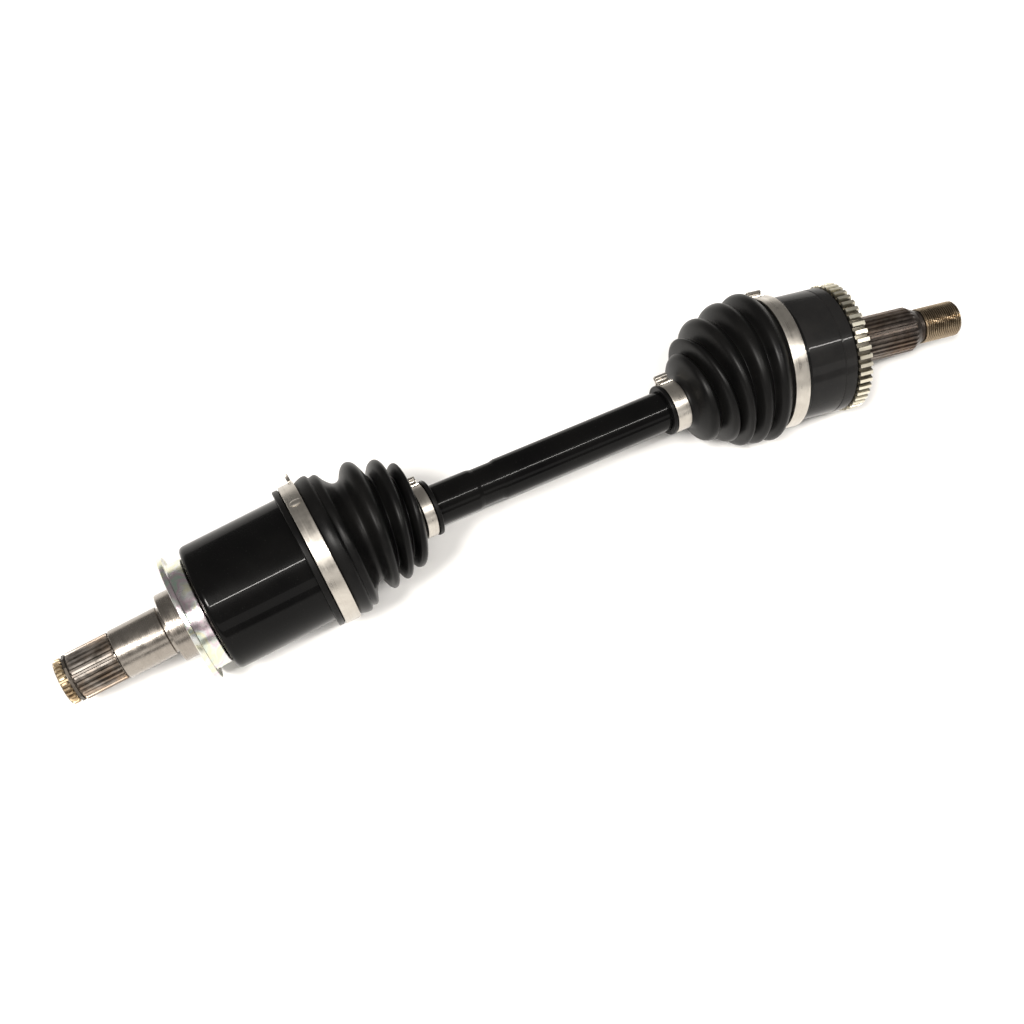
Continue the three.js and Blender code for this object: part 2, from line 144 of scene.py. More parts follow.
def revolve(name, outline, where, look, facets=160, loop=False, shape=None):
    """A turned piece. outline is [(s_mm, r_mm or r(angles, s)), ...] along X; r of 0 is the axis."""
    angles = np.arange(facets) * (FULL_TURN / facets)
    points = []
    axial = []
    radial = []
    rings = []
    for s, r in outline:
        first = len(points)
        if not callable(r) and r <= 1e-6:
            ring_angles = np.zeros(1)
            radii = np.zeros(1)
        else:
            ring_angles = angles
            radii = r(angles, s) if callable(r) else np.full(facets, float(r))
        ring = np.stack([np.full(len(radii), s), radii * np.sin(ring_angles), radii * np.cos(ring_angles)], 1)
        points.extend(ring)
        axial.extend([s] * len(radii))
        radial.extend(radii)
        rings.append((first, len(radii)))
    faces = []
    pairs = list(zip(rings, rings[1:])) + ([(rings[-1], rings[0])] if loop else [])
    for (a, count_a), (b, count_b) in pairs:
        for i in range(facets):
            j = (i + 1) % facets
            if count_a == 1 and count_b == 1:
                break
            if count_a == 1:
                faces.append((a, b + i, b + j))
            elif count_b == 1:
                faces.append((a + i, b, a + j))
            else:
                faces.append((a + i, b + i, b + j, a + j))
    points = np.array(points) * MM
    if shape is not None:
        points = shape(points)
    matrix = np.array(where)
    points = points @ matrix[:3, :3].T + matrix[:3, 3]
    return new_mesh(name, points, faces, look, {"axial": axial, "radial": radial})


LEAN_SIDE = math.radians(55)            # folds lean towards this side, from the top round to +Y


def bent(line_to, start_mm, end_mm, lean=(), sway=()):
    """A shape that bends points about the local origin, a joint's centre: not at start, wholly at end.

    lean is [(s_mm, slope)], the tilt of a resting bellows' folds; sway is [(s_mm, mm)], their shift sideways.
    """
    turn = SHAFT_TURN.transposed() @ SHAFT_LINE.rotation_difference(line_to).to_matrix() @ SHAFT_TURN
    axis, angle = turn.to_quaternion().to_axis_angle()
    side = np.array([0.0, math.sin(LEAN_SIDE), math.cos(LEAN_SIDE)])

    def shape(points):
        stations = points[:, 0] / MM
        if lean:
            slope = np.interp(stations, [s for s, _ in lean], [k for _, k in lean])
            points[:, 0] += slope * (points @ side)
        if sway:
            points += np.interp(stations, [s for s, _ in sway], [k for _, k in sway])[:, None] * MM * side
        share = np.clip((points[:, 0] / MM - start_mm) / (end_mm - start_mm), 0, 1)
        share = share * share * (3 - 2 * share)
        k = np.array(axis)
        cos = np.cos(angle * share)[:, None]
        sin = np.sin(angle * share)[:, None]
        along = (points @ k)[:, None] * k
        return points * cos + np.cross(k, points) * sin + along * (1 - cos)

    return shape


def toothed(count, root_mm, tip_mm, fill=0.5, flank=0.18, fade=None):
    """A radius that steps between root and tip round the axis. fade(s) runs from 0, no teeth, to 1."""

    def radius(angles, s):
        phase = np.abs((angles * count / FULL_TURN) % 1 - 0.5) * 2
        tooth = np.clip((fill - phase) / flank + 0.5, 0, 1)
        tooth = tooth * tooth * (3 - 2 * tooth)
        share = 1 if fade is None else fade(s)
        return root_mm + (tip_mm - root_mm) * tooth * share

    return radius


def dressed(obj, body, node):
    """Gives a piece its body and the CAD node that it stands in for."""
    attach(obj, body)
    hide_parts(node)
    return obj


# ---- materials --------------------------------------------------------------------


class Nodes:
    """A short way to write a node material."""

    def __init__(self, name):
        self.material = bpy.data.materials.new(name)
        self.material.use_nodes = True
        self.tree = self.material.node_tree
        self.shader = self.tree.nodes["Principled BSDF"]
        coords = self.tree.nodes.new("ShaderNodeTexCoord")
        self.where = coords.outputs["Object"]

    def add(self, kind, **settings):
        node = self.tree.nodes.new(kind)
        for key, value in settings.items():
            setattr(node, key, value)
        return node

    def link(self, source, target):
        self.tree.links.new(source, target)

    def fill(self, node, key, value):
        if isinstance(value, bpy.types.NodeSocket):
            self.link(value, node.inputs[key])
        else:
            node.inputs[key].default_value = value

    def noise(self, scale, detail=4.0, roughness=0.55, vector=None, distortion=0.0):
        node = self.add("ShaderNodeTexNoise")
        self.link(vector or self.where, node.inputs["Vector"])
        node.inputs["Scale"].default_value = scale
        node.inputs["Detail"].default_value = detail
        node.inputs["Roughness"].default_value = roughness
        node.inputs["Distortion"].default_value = distortion
        return node.outputs["Fac"]

    def ramp(self, value, *stops):
        node = self.add("ShaderNodeValToRGB")
        self.link(value, node.inputs["Fac"])
        elements = node.color_ramp.elements
        while len(elements) < len(stops):
            elements.new(0.5)
        for element, (position, colour) in zip(elements, stops):
            element.position = position
            element.color = (*colour, 1)
        return node.outputs["Color"]

    def spread(self, value, low, high, from_low=0.3, from_high=0.7):
        node = self.add("ShaderNodeMapRange")
        self.link(value, node.inputs["Value"])
        node.inputs["From Min"].default_value = from_low
        node.inputs["From Max"].default_value = from_high
        node.inputs["To Min"].default_value = low
        node.inputs["To Max"].default_value = high
        return node.outputs["Result"]

    def math(self, operation, a, b=0.0):
        node = self.add("ShaderNodeMath", operation=operation)
        self.fill(node, 0, a)
        self.fill(node, 1, b)
        return node.outputs[0]

    def mix(self, share, a, b):
        node = self.add("ShaderNodeMix", data_type="RGBA")
        self.fill(node, 0, share)
        for index, value in ((6, a), (7, b)):
            self.fill(node, index, (*value, 1) if isinstance(value, tuple) else value)
        return node.outputs[2]

    def attribute(self, name):
        node = self.add("ShaderNodeAttribute", attribute_name=name)
        return node.outputs["Fac"]

    def lines(self, per_mm, detail=3.0):
        """Fine rings left by a lathe tool: noise that changes only along the piece."""
        combine = self.add("ShaderNodeCombineXYZ")
        self.link(self.math("MULTIPLY", self.attribute("axial"), per_mm), combine.inputs[0])
        self.link(self.math("MULTIPLY", self.attribute("radial"), per_mm), combine.inputs[1])
        return self.noise(1.0, detail=detail, vector=combine.outputs[0])

    def bump(self, height, strength, distance, onward=None):
        node = self.add("ShaderNodeBump")
        node.inputs["Strength"].default_value = strength
        node.inputs["Distance"].default_value = distance
        self.link(height, node.inputs["Height"])
        if onward is not None:
            self.link(onward, node.inputs["Normal"])
        return node.outputs["Normal"]

    def finish(self, colour, roughness, normal=None, metallic=0.0, **sockets):
        self.fill(self.shader, "Base Color", colour)
        self.fill(self.shader, "Roughness", roughness)
        self.shader.inputs["Metallic"].default_value = metallic
        if normal is not None:
            self.link(normal, self.shader.inputs["Normal"])
        for key, value in sockets.items():
            self.shader.inputs[key.replace("_", " ")].default_value = value
        return self.material


def gloss_paint(name, tone=0.0016):
    """Baked black paint: orange peel, faint dust and small dull patches."""
    n = Nodes(name)
    dust = n.ramp(n.noise(900, detail=2), (0.66, (0, 0, 0)), (0.78, (1, 1, 1)))
    patches = n.noise(22, detail=6, roughness=0.6)
    worn = (tone * 2.5, tone * 2.4, tone * 2.3)
    colour = n.mix(n.spread(patches, 0.0, 0.8), (tone, tone, tone * 1.05), worn)
    colour = n.mix(n.math("MULTIPLY", dust, 0.02), colour, (0.30, 0.29, 0.27))
    roughness = n.spread(patches, 0.16, 0.30)
    peel = n.noise(260, detail=2, roughness=0.4)
    normal = n.bump(peel, 0.05, 0.0004)
    normal = n.bump(n.lines(1.1), 0.04, 0.0002, normal)
    return n.finish(colour, roughness, normal,
                    Specular_IOR_Level=0.035, Coat_Weight=0.13, Coat_Roughness=0.03)


def machined(name, light, dark, low, high, line_scale=3.0, line_bump=0.25, grooves=None):
    """Turned or ground steel with tool rings and stains. low and high are its roughness."""
    n = Nodes(name)
    rings = n.lines(line_scale)
    stains = n.noise(45, detail=7, roughness=0.65, distortion=0.6)
    colour = n.mix(n.spread(stains, 0.0, 1.0, 0.35, 0.72), light, dark)
    colour = n.mix(n.spread(rings, 0.0, 0.25), colour, dark)
    # grooves, if given, is a colour mixed in towards the tooth roots: painted shade in the speed ring's gaps,
    # a darker root on the thread
    if grooves:
        colour = n.mix(n.spread(n.attribute("tooth"), 0.95, 0.0, 0.0, 1.0), colour, grooves)
    grime = n.noise(160, detail=5)
    roughness = n.math("ADD", n.spread(rings, low, high), n.spread(grime, -0.04, 0.08))
    normal = n.bump(rings, line_bump, 0.0002)
    normal = n.bump(grime, 0.05, 0.0003, normal)
    return n.finish(colour, roughness, normal, metallic=1.0)


def oily_steel(name, light, dark, rust):
    """Dark unpainted steel with oil film and rust-brown tint in places."""
    n = Nodes(name)
    blotches = n.noise(70, detail=7, roughness=0.7, distortion=0.8)
    colour = n.mix(n.spread(blotches, 0.0, 1.0, 0.38, 0.65), dark, light)
    tint = n.noise(38, detail=5, distortion=0.3)
    colour = n.mix(n.spread(tint, 0.0, 0.7, 0.45, 0.7), colour, rust)
    # Near-black towards the tooth roots.
    low = n.spread(n.attribute("tooth"), 0.55, 0.0, 0.0, 1.0)
    colour = n.mix(low, colour, (0.012, 0.010, 0.009))
    roughness = n.spread(blotches, 0.28, 0.5)
    normal = n.bump(n.noise(520, detail=4), 0.15, 0.0003)
    return n.finish(colour, roughness, normal, metallic=0.9)


def rubber(name):
    """Moulded rubber: fine grain, bloom where it is thin and a satin face."""
    n = Nodes(name)
    grain = n.noise(1400, detail=3)
    bloom = n.noise(28, detail=6, roughness=0.6, distortion=0.4)
    colour = n.mix(n.spread(bloom, 0.0, 1.0), (0.0016, 0.0016, 0.0018), (0.0052, 0.0050, 0.0047))
    specks = n.ramp(n.noise(700, detail=1), (0.70, (0, 0, 0)), (0.78, (1, 1, 1)))
    colour = n.mix(n.math("MULTIPLY", specks, 0.015), colour, (0.3, 0.29, 0.27))
    roughness = n.spread(bloom, 0.30, 0.44)
    normal = n.bump(grain, 0.10, 0.0003)
    normal = n.bump(n.lines(0.8, detail=2), 0.08, 0.0004, normal)
    return n.finish(colour, roughness, normal, Specular_IOR_Level=0.11)


def zinc_rainbow(name):
    """Bright zinc with thin passivation colours: pale yellow, pink and green clouds."""
    n = Nodes(name)
    clouds = n.noise(55, detail=4, roughness=0.5, distortion=1.2)
    colour = n.ramp(clouds, (0.30, (0.56, 0.64, 0.60)), (0.42, (0.70, 0.68, 0.50)),
                    (0.50, (0.66, 0.68, 0.67)), (0.58, (0.68, 0.54, 0.60)), (0.70, (0.50, 0.66, 0.55)))
    smears = n.noise(130, detail=6)
    roughness = n.spread(smears, 0.14, 0.34)
    normal = n.bump(n.lines(1.2), 0.15, 0.0003)
    normal = n.bump(smears, 0.05, 0.0004, normal)
    return n.finish(colour, roughness, normal, metallic=1.0)


def spring_steel(name):
    """Blackened spring steel with a thin scale."""
    n = Nodes(name)
    scale = n.noise(240, detail=5)
    colour = n.mix(n.spread(scale, 0.0, 1.0), (0.05, 0.045, 0.04), (0.14, 0.12, 0.10))
    return n.finish(colour, n.spread(scale, 0.3, 0.5), n.bump(scale, 0.1, 0.0003), metallic=0.9)


def polished(name, light, dark):
    """Hardened bearing steel: a bright ground face with oil film and fine scratches."""
    n = Nodes(name)
    film = n.noise(60, detail=6, roughness=0.6, distortion=0.5)
    scratches = n.noise(1500, detail=3)
    colour = n.mix(n.spread(film, 0.0, 1.0), light, dark)
    roughness = n.math("ADD", n.spread(film, 0.10, 0.24), n.spread(scratches, -0.03, 0.05))
    return n.finish(colour, roughness, n.bump(scratches, 0.05, 0.0002), metallic=1.0)


# Darker colour mixed in towards the roots of the thread.
THREAD_ROOT_DARK = (0.05, 0.035, 0.02)
# Painted shade: the dark colour laid into the speed ring's tooth gaps.
RING_GAP_SHADE = (0.06, 0.052, 0.04)
LOOKS = {
    "cup_paint": gloss_paint("cup_paint"),
    "bar_paint": gloss_paint("bar_paint"),
    "bell_paint": gloss_paint("bell_paint", 0.007),
    "ground_steel": machined("ground_steel", (0.36, 0.33, 0.295), (0.22, 0.195, 0.17), 0.18, 0.30),
    "stub_spline": oily_steel("stub_spline", (0.34, 0.31, 0.28), (0.13, 0.115, 0.10), (0.30, 0.18, 0.09)),
    "brassy_tip": oily_steel("brassy_tip", (0.62, 0.50, 0.33), (0.30, 0.22, 0.14), (0.45, 0.28, 0.12)),
    "wheel_spline": oily_steel("wheel_spline", (0.17, 0.145, 0.125), (0.055, 0.045, 0.04),
                               (0.12, 0.075, 0.045)),
    "thread_bronze": machined("thread_bronze", (0.40, 0.32, 0.22), (0.22, 0.17, 0.12), 0.20, 0.32, 0.5, 0.05,
                              THREAD_ROOT_DARK),
    "clamp_band": machined("clamp_band", (0.56, 0.53, 0.48), (0.40, 0.37, 0.33), 0.24, 0.38, 1.4, 0.12),
    "tone_zinc": machined("tone_zinc", (0.78, 0.75, 0.64), (0.50, 0.46, 0.36), 0.26, 0.42, 1.0, 0.15,
                          RING_GAP_SHADE),
    "slinger_zinc": zinc_rainbow("slinger_zinc"),
    "boot_rubber": rubber("boot_rubber"),
    "spring_steel": spring_steel("spring_steel"),
    "bearing_steel": polished("bearing_steel", (0.60, 0.60, 0.61), (0.42, 0.42, 0.43)),
}


def mark_teeth(obj, root_mm, tip_mm):
    """Stores how high each point stands between tooth root and tip, for the darker colour towards the roots:
    painted shade in the speed ring's gaps.
    """
    mesh = obj.data
    radial = np.empty(len(mesh.vertices), dtype=np.float32)
    mesh.attributes["radial"].data.foreach_get("value", radial)
    layer = mesh.attributes.new("tooth", "FLOAT", "POINT")
    layer.data.foreach_set("value", np.clip((radial - root_mm) / (tip_mm - root_mm), 0, 1).astype(np.float32))
    return obj


# ---- gearbox end --------------------------------------------------------------------

CUP_R = 40.0
TRACK_R = 16.9
TRACK_PITCH_R = 20.5
CORE_R = 24.5
FLARE_R = 36.0
FLARE_FROM = 2.0
CUP_MOUTH = 22.0
CUP_BORE_END = -50.0
CUP_BACK = -59.5
CUP_BACK_R = 27.0


def cup_bore(angles, s):
    """The three roller tracks round the core; the lands between them open out at the mouth."""
    core = CORE_R + (FLARE_R - CORE_R) * np.clip((s - FLARE_FROM) / (CUP_MOUTH - FLARE_FROM), 0, 1)
    radius = np.full(len(angles), float(core))
    for index in range(3):
        off = angles + index * FULL_TURN / 3
        under = TRACK_R ** 2 - (TRACK_PITCH_R * np.sin(off)) ** 2
        lobe = np.where(under > 0, TRACK_PITCH_R * np.cos(off) + np.sqrt(np.maximum(under, 0)), 0)
        radius = np.maximum(radius, lobe)
    return radius


cup = revolve("tripod_cup", [
    (CUP_BORE_END, 0),
    *[(s, cup_bore) for s in (CUP_BORE_END, 0, FLARE_FROM, 10, CUP_MOUTH)],
    *eased([(CUP_MOUTH, CUP_R - 2), (CUP_MOUTH, CUP_R, 0.8), (CUP_BACK, CUP_R, 3.6),
            (CUP_BACK, CUP_BACK_R + 2, 0.3), (CUP_BACK, CUP_BACK_R)]),
    (CUP_BACK, 0),
], GEARBOX, LOOKS["cup_paint"], facets=240)
dressed(cup, "inboard_housing", "inboard_housing")

COLLAR_R = 21.5
COLLAR_END = -84.4
UNDERCUT_R = 14.35
JOURNAL_R = 15.35
JOURNAL_END = -117.0
STUB_ROOT_R = 13.4
stub = revolve("gearbox_stub", eased([
    (CUP_BACK - 0.2, 0), (CUP_BACK - 0.2, CUP_BACK_R), (-70, CUP_BACK_R), (-70, COLLAR_R), (-74, COLLAR_R),
    (COLLAR_END, COLLAR_R, 0.7), (COLLAR_END, UNDERCUT_R, 0.4), (COLLAR_END - 2.2, UNDERCUT_R, 0.4),
    (COLLAR_END - 2.7, JOURNAL_R, 0.2), (-100, JOURNAL_R), (JOURNAL_END, JOURNAL_R, 0.5),
    (JOURNAL_END - 0.8, STUB_ROOT_R, 0.3), (JOURNAL_END - 2, STUB_ROOT_R), (JOURNAL_END - 2, 0),
]), GEARBOX, LOOKS["ground_steel"])
dressed(stub, "inboard_housing", "inboard_housing")


def faded(start, end, ramp):
    """Whole teeth between start and end, running out over the ramp at both ends."""
    return lambda s: float(np.clip(min((s - start), (end - s)) / ramp, 0, 1))


SPLINE_TEETH = 27
GROOVE_START = -145.0
GROOVE_END = -147.6
GROOVE_R = 12.8
STUB_END = -153.0
spline_r = toothed(SPLINE_TEETH, 13.5, 14.9, fade=faded(GROOVE_START, -117.6, 0.8))
spline = revolve("gearbox_spline", [
    (-118.2, 0), (-118.2, 13.3),
    *[(s, spline_r) for s in (-118.3, -118.9, -119.6, -132, -144, -144.6, -144.9)],
    (GROOVE_START, 13.3), (GROOVE_START, GROOVE_R), (GROOVE_END, GROOVE_R), (GROOVE_END, GROOVE_R - 0.1),
    (GROOVE_END, 0),
], GEARBOX, LOOKS["stub_spline"], facets=SPLINE_TEETH * 16)
dressed(mark_teeth(spline, 13.4, 14.7), "inboard_housing", "inboard_housing")

tip_r = toothed(SPLINE_TEETH, 12.9, 14.2, fade=faded(STUB_END, -147.5, 1.3))
tip = revolve("gearbox_tip", [
    (-147.7, 0), (-147.7, 12.9),
    *[(s, tip_r) for s in (-147.8, -148.3, -149, -150.5, -151.7, -152.3, -152.9)],
    (STUB_END, 12.4), (STUB_END, 3.4), (-150.5, 1.4), (-146, 1.2), (-146, 0),
], GEARBOX, LOOKS["brassy_tip"], facets=SPLINE_TEETH * 16)
dressed(mark_teeth(tip, 12.9, 14.1), "inboard_housing", "inboard_housing")

SLINGER_FACE = -60.4
SLINGER_BORE_R = 27.3
SLINGER_R = 40.0
slinger = revolve("slinger_ring", eased([
    (-62.1, 30), (-62.1, SLINGER_BORE_R), (SLINGER_FACE, SLINGER_BORE_R), (SLINGER_FACE, 34, 1.6),
    (-70.6, 34, 0.9), (-70.8, 37, 0.6), (-69.9, SLINGER_R, 0.7), (-73.4, SLINGER_R, 0.9), (-73.4, 36, 0.8),
    (-72.6, 32.2, 1.0), (-62.1, 32.2),
]), GEARBOX, LOOKS["slinger_zinc"], facets=200, loop=True)
dressed(slinger, "inboard_housing", "dust_slinger")

# ---- bar ------------------------------------------------------------------------------

BAR_R = 13.0
SLIM_R = 11.5
SHAFT_END = 14.0
NECK_R = 12.3
NECK_START = 118.5
NECK_END = 131.5
bar = revolve("bar", eased([
    (-SHAFT_END, 0), (-SHAFT_END, SLIM_R, 0.6), (72, SLIM_R, 2), (75, BAR_R, 1), (NECK_START - 3, BAR_R, 2.5),
    (NECK_START, NECK_R, 2), (NECK_END, NECK_R, 2), (NECK_END + 3, BAR_R, 2.5), (SPACING_MM - 48, BAR_R, 2),
    (SPACING_MM - 44, SLIM_R, 2), (SPACING_MM + SHAFT_END, SLIM_R, 0.6), (SPACING_MM + SHAFT_END, 0),
]), SHAFT, LOOKS["bar_paint"])
dressed(bar, "shaft", "axle_shaft")

# ---- wheel end --------------------------------------------------------------------------

BELL_R = 41.0
RING_START = 30.5
BELL_END = 40.5
BALL_PITCH_R = 26.0
BALL_TRACK_R = 9.9
BELL_CAVITY_R = 30.0
BELL_CAVITY_END = 24.0
BELL_FLARE_START = -11.0
BELL_MOUTH = -19.0
BELL_MOUTH_R = 35.0
SEAT_R = 39.7                           # under the boot's wide end
SEAT_END = -3.0
LINE_START = 20.6                       # the fine line turned round the bell
LINE_DEPTH = 0.35


def bell_bore(angles, s):
    """The ball cavity with its six tracks, flared at the mouth."""
    wall = math.sqrt(BELL_CAVITY_R ** 2 - max(s, BELL_FLARE_START) ** 2)
    if s < BELL_FLARE_START:
        wall += (BELL_MOUTH_R - wall) * (BELL_FLARE_START - s) / (BELL_FLARE_START - BELL_MOUTH)
    radius = np.full(len(angles), wall)
    for index in range(6):
        off = (angles + index * FULL_TURN / 6 + math.pi) % FULL_TURN - math.pi
        lane = math.sqrt(BALL_PITCH_R ** 2 - s * s) if abs(s) < BALL_PITCH_R else 0
        under = BALL_TRACK_R ** 2 - (lane * np.sin(off)) ** 2
        reach = lane * np.cos(off) + np.sqrt(np.maximum(under, 0))
        lobe = np.where((under > 0) & (np.abs(off) < 1), reach, 0)
        radius = np.maximum(radius, lobe)
    return radius


bell = revolve("joint_bell", [
    (BELL_CAVITY_END, 0),
    *[(s, bell_bore) for s in np.linspace(BELL_CAVITY_END, BELL_FLARE_START, 14)],
    (-15, bell_bore), (BELL_MOUTH + 0.5, bell_bore),
    *eased([(BELL_MOUTH, BELL_MOUTH_R), (BELL_MOUTH, SEAT_R, 0.5), (SEAT_END, SEAT_R),
            (SEAT_END, BELL_R, 0.4), (LINE_START, BELL_R, 0.1), (LINE_START + 0.3, BELL_R - LINE_DEPTH, 0.1),
            (LINE_START + 0.7, BELL_R - LINE_DEPTH, 0.1), (LINE_START + 1, BELL_R, 0.1),
            (RING_START - 1.6, BELL_R, 0.5), (RING_START, BELL_R - 1.6, 0.3), (RING_START, 37.5),
            (BELL_END, 37.5, 0.8), (BELL_END, 26)]),
    (BELL_END, 0),
], WHEEL, LOOKS["bell_paint"], facets=240)
dressed(bell, "outboard_bell", "outboard_bell")

SPLINE_END = 91.0
wheel_spline_r = toothed(SPLINE_TEETH, 13.7, 15.0, fade=faded(45, SPLINE_END - 0.2, 2.0))
wheel_stub = revolve("wheel_stub", [
    (BELL_END + 0.2, 0), (BELL_END + 0.2, 24), (42.5, 24), (42.5, 17), (43.2, 14.2), (44.8, 13.7),
    *[(s, wheel_spline_r) for s in (45.2, 46, 47, 60, 75, 86, 88.8, 89.6, 90.3, 90.7)],
    *eased([(SPLINE_END, 13.6), (SPLINE_END + 3.2, 12.2, 0.8), (SPLINE_END + 3.8, 10.9, 0.4), (97.6, 10.9)]),
    (97.6, 0),
], WHEEL, LOOKS["wheel_spline"], facets=SPLINE_TEETH * 16)
dressed(mark_teeth(wheel_stub, 13.6, 14.9), "outboard_bell", "outboard_bell")

THREAD_R = 11.9
THREAD_PITCH = 1.5
THREAD_DEPTH = 0.85
THREAD_START = 97.8
THREAD_END = 125.0
THREAD_RINGS = 290


def thread_r(angles, s):
    """A right-hand helix that runs out at both ends."""
    phase = (s / THREAD_PITCH - angles / FULL_TURN) % 1
    wave = np.clip(np.abs(phase - 0.5) * 2.4 - 0.1, 0, 1)
    depth = THREAD_DEPTH * np.clip(min((s - THREAD_START) / 1.5, (THREAD_END - s) / 0.8), 0, 1)
    chamfer = max(0.0, s - (THREAD_END - 1.3)) * 0.9
    return THREAD_R - 0.1 - depth * wave - chamfer


thread = revolve("wheel_thread", [
    (THREAD_START, 0), (THREAD_START, 10.9),
    *[(s, thread_r) for s in np.linspace(THREAD_START + 0.3, THREAD_END - 0.05, THREAD_RINGS)],
    (THREAD_END, 10.2), (THREAD_END, 4.0), (THREAD_END - 3, 1.6), (THREAD_END - 7, 1.4), (THREAD_END - 7, 0),
], WHEEL, LOOKS["thread_bronze"], facets=120)
mark_teeth(thread, THREAD_R - THREAD_DEPTH - 0.1, THREAD_R - 0.2)
dressed(thread, "outboard_bell", "outboard_bell")

RING_TEETH = 48
ring_tip = toothed(RING_TEETH, 39.6, 42.3, fill=0.52, flank=0.12)
ring_soft = toothed(RING_TEETH, 39.5, 41.9, fill=0.48, flank=0.12)
RING_BORE_R = 37.8
RING_RIM_R = 39.0
tone = revolve("speed_ring", [
    (RING_START + 0.3, RING_BORE_R), (RING_START + 0.3, RING_RIM_R), (RING_START + 0.35, ring_soft),
    *[(RING_START + s, ring_tip) for s in (0.8, 5, 8.8)],
    (RING_START + 9.25, ring_soft), (RING_START + 9.3, RING_RIM_R), (RING_START + 9.3, RING_BORE_R),
], WHEEL, LOOKS["tone_zinc"], facets=RING_TEETH * 14, loop=True)
dressed(mark_teeth(tone, 39.4, 42.0), "outboard_bell", "tone_ring")

# ---- boots ---------------------------------------------------------------------------------


def smooth_outline(points, per_span=5):
    """A Catmull-Rom curve through an outline's points, with per_span points to each span."""
    pts = [np.array(point, float) for point in points]
    pts = [2 * pts[0] - pts[1], *pts, 2 * pts[-1] - pts[-2]]
    out = []
    for a, b, c, d in zip(pts, pts[1:], pts[2:], pts[3:]):
        for t in np.arange(per_span) / per_span:
            out.append(tuple(0.5 * (2 * b + (c - a) * t + (2 * a - 5 * b + 4 * c - d) * t * t
                                    + (3 * b - a - 3 * c + d) * t ** 3)))
    out.append(tuple(pts[-2]))
    return out


def folds(crests, valleys):
    """Bellows folds: a steep face towards the small end, a round crest and a slope to the next valley."""
    out = []
    for index, (s, r) in enumerate(crests):
        v_s, v_r = valleys[index]
        rise = r - v_r
        run = s - v_s
        out += [(v_s, v_r), (v_s + 0.28 * run, v_r + 0.5 * rise)]
        out += [(v_s + 0.55 * run, v_r + 0.86 * rise), (s, r)]
        n_s, n_r = valleys[index + 1]
        out += [(s + 0.4 * (n_s - s), r - 0.22 * (r - n_r)), (s + 0.8 * (n_s - s), r - 0.72 * (r - n_r))]
    return out + [valleys[-1]]


BOOT_WALL = 2.0
SMALL_BORE_R = BAR_R + 0.3

wheel_crests = [(-71.6, 30.2), (-62.0, 38.0), (-51.6, 44.6), (-38.0, 47.6), (-24.8, 49.0)]
wheel_valleys = [(-78.5, 18.0), (-67.0, 26.5), (-57.4, 33.5), (-45.2, 39.0), (-31.4, 42.6), (-17.6, 42.9)]
wheel_lean = [(-80, 0.0), (-72, -0.045), (-62, -0.165), (-53, -0.10), (-38, -0.05), (-25, -0.02), (-18, 0.0)]
wheel_folds = smooth_outline(folds(wheel_crests, wheel_valleys))
wheel_outside = [
    *eased([(-94.8, 14.6), (-94.8, 16.6, 0.7), (-92.4, 16.6, 0.6), (-92.1, 15.3, 0.3), (-88, 15.3)]),
    (-81.6, 15.3), (-80.2, 15.9), *wheel_folds,
    *eased([(-16.6, 42.3), (-10, 42.3), (-3.7, 42.3, 0.4), (-3.5, 41.3)]),
]
wheel_inside = [(-3.5, 40.1), (-17.5, 40.1), (-21.5, 45.5)]
wheel_inside += [(s, r - BOOT_WALL) for s, r in reversed(wheel_folds) if -78 < s < -24]
wheel_inside += [(-80.5, SMALL_BORE_R), (-94.8, SMALL_BORE_R)]
wheel_boot = revolve("wheel_boot", wheel_outside + wheel_inside, SHAFT_AT_WHEEL, LOOKS["boot_rubber"],
                     facets=144, loop=True, shape=bent(WHEEL_LINE, -80, -20, wheel_lean))


def along(place_matrix, s_mm):
    return tuple(place_matrix @ Vector((s_mm * MM, 0, 0)))


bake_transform(wheel_boot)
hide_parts("outboard_boot")

GEAR_BOOT_END = 88.2
gear_collar = eased([(4.1, 40.4), (4.1, 44.6, 0.9), (7.6, 44.6, 0.7), (8.0, 43.5, 0.3), (13, 43.5)])
gear_bands = smooth_outline([
    (18.6, 43.5), (19.6, 44.0), (22.2, 44.8), (24.6, 45.1), (26.2, 44.6), (27.2, 42.9), (28.4, 42.8),
    (30.4, 43.1), (32.0, 41.8), (33.8, 37.8), (36.8, 33.6), (39.4, 32.4), (41.6, 33.4), (43.8, 37.6),
    (45.9, 40.2), (48.0, 40.9), (50.2, 39.8), (52.2, 35.6), (53.8, 31.0), (55.0, 30.0), (56.4, 32.6),
    (58.2, 36.4), (60.4, 37.8), (62.4, 36.6), (64.0, 32.0), (65.4, 27.6), (66.6, 26.6), (67.8, 29.0),
    (69.2, 31.8), (71.0, 32.7), (72.8, 31.4), (74.6, 25.6), (76.0, 19.2),
], per_span=4)
gear_tail = eased([
    (77.6, 15.9), (81, 15.8), (85.2, 15.8, 0.3), (85.5, 17.6, 0.6), (GEAR_BOOT_END, 17.6, 0.8),
    (GEAR_BOOT_END, 15),
])
gear_lean = [(30, 0.0), (40, 0.02), (48, 0.045), (60, 0.115), (71, 0.125), (78, 0.02), (80, 0.0)]
gear_sway = [(30, 0.0), (48, 2.4), (60, 2.2), (71, 1.4), (78, 0.0)]
CUP_SEAT_R = 40.4
SPLIT = 44.9                            # where the gearbox-side boot is split into its two halves


def half_boot(name, outside, inside):
    """One half of the gearbox-side boot, split at the seam; both halves take the same resting bend."""
    return revolve(name, outside + inside, SHAFT, LOOKS["boot_rubber"], facets=144, loop=True,
                   shape=bent(GEARBOX_LINE, 75, 22, gear_lean, gear_sway))


